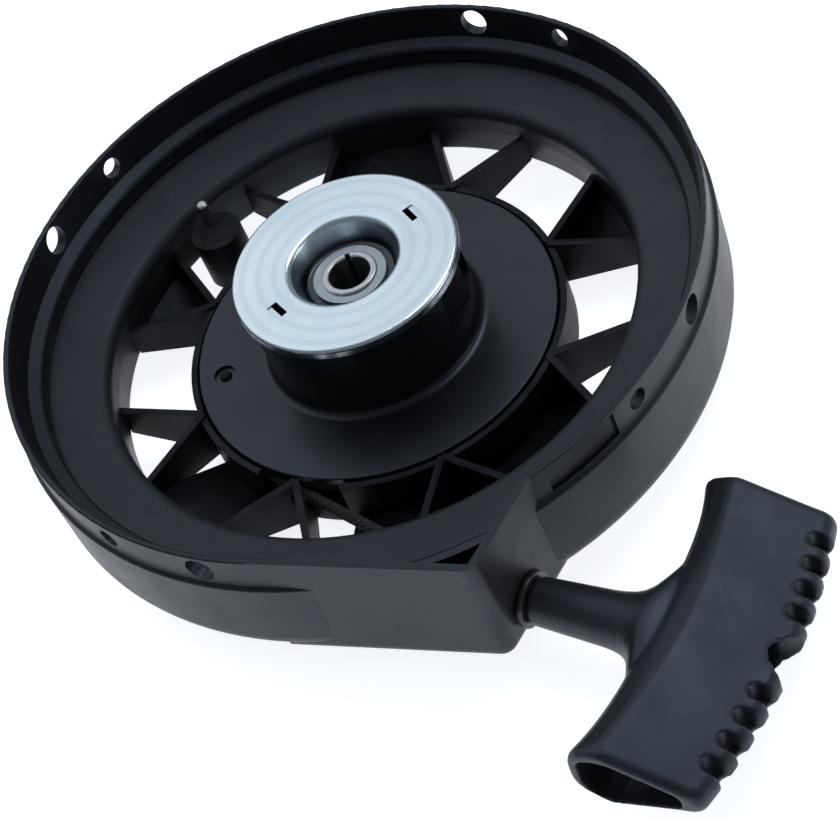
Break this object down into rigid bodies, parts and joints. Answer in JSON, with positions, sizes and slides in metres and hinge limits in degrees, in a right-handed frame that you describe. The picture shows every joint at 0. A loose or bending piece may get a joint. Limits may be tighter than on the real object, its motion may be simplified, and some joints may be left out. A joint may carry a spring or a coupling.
{
  "type": "recoil starter",
  "caption": "Recoil starter for a small engine: round ribbed housing, rope pulley with two dogs under a metal retainer, and a T-shaped pull handle.",
  "frame": {"origin": "the pulley's axis at the resting face of the housing's centre cap", "axes": "+Z towards the engine along the pulley's axis; +X through a spoke node beside the rope's mouth"},
  "size_m": [0.3223, 0.2248, 0.052],
  "materials": {
    "housing_plastic": "textured matt",
    "pulley_plastic": "satin",
    "dog_plastic": "satin",
    "handle_plastic": "satin",
    "eyelet_plastic": "satin",
    "zinc_steel": "zinc plated",
    "bright_steel": "bright",
    "spring_steel": "oiled",
    "rope": "braided"
  },
  "bodies": {
    "housing": {"housing_shell": "housing_plastic", "inner_ring": "housing_plastic", "housing_spokes": "housing_plastic", "housing_well": "housing_plastic", "center_pin": "bright_steel", "upper_washer": "zinc_steel", "lower_washer": "zinc_steel", "brake_spring": "spring_steel", "boss_pin": "bright_steel", "rope_eyelet": "eyelet_plastic", "rope_lead": "rope"},
    "pulley": {"rope_pulley": "pulley_plastic", "spring_cover": "zinc_steel", "rewind_spring": "spring_steel", "rope_winding": "rope", "rope_anchor_end": "rope", "dog_spring_a": "spring_steel", "dog_spring_b": "spring_steel"},
    "retainer": {"dog_retainer": "zinc_steel"},
    "dog_a": {"starter_dog_a": "dog_plastic"},
    "dog_b": {"starter_dog_b": "dog_plastic"},
    "rope_end": {"rope_tail": "rope", "rope_knot": "rope", "rope_cup": "zinc_steel"},
    "handle": {"pull_handle": "handle_plastic"}
  },
  "joints": [
    {"name": "handle_pull", "type": "slide", "parent": "housing", "child": "rope_end", "axis": [0.7385, 0.6743, 0], "range_m": [0, 1.9], "stiffness_N_per_m": 12, "springref_m": -0.5},
    {"name": "handle_swivel", "type": "hinge", "parent": "rope_end", "child": "handle", "pos_m": [0.15023, 0.03021, 0.019], "axis": [0.7385, 0.6743, 0], "range_deg": [-180, 180]},
    {"name": "pulley_spin", "type": "hinge", "parent": "housing", "child": "pulley", "pos_m": [0, 0, 0.0124], "axis": [0, 0, 1], "range_deg": [0, 2190]},
    {"name": "retainer_lag", "type": "hinge", "parent": "pulley", "child": "retainer", "pos_m": [0, 0, 0.05], "axis": [0, 0, 1], "range_deg": [-40, 0]},
    {"name": "dog_a_swing", "type": "hinge", "parent": "pulley", "child": "dog_a", "pos_m": [0.02283, 0.00742, 0.0303], "axis": [0, 0, 1], "range_deg": [-16, 0]},
    {"name": "dog_b_swing", "type": "hinge", "parent": "pulley", "child": "dog_b", "pos_m": [-0.02283, -0.00742, 0.0303], "axis": [0, 0, 1], "range_deg": [-16, 0]}
  ],
  "couplings": [
    {"joint": "pulley_spin", "follows": "handle_pull", "rad_per_m": 20},
    {"joint": "dog_a_swing", "follows": "retainer_lag", "ratio": 0.4},
    {"joint": "dog_b_swing", "follows": "retainer_lag", "ratio": 0.4}
  ]
}
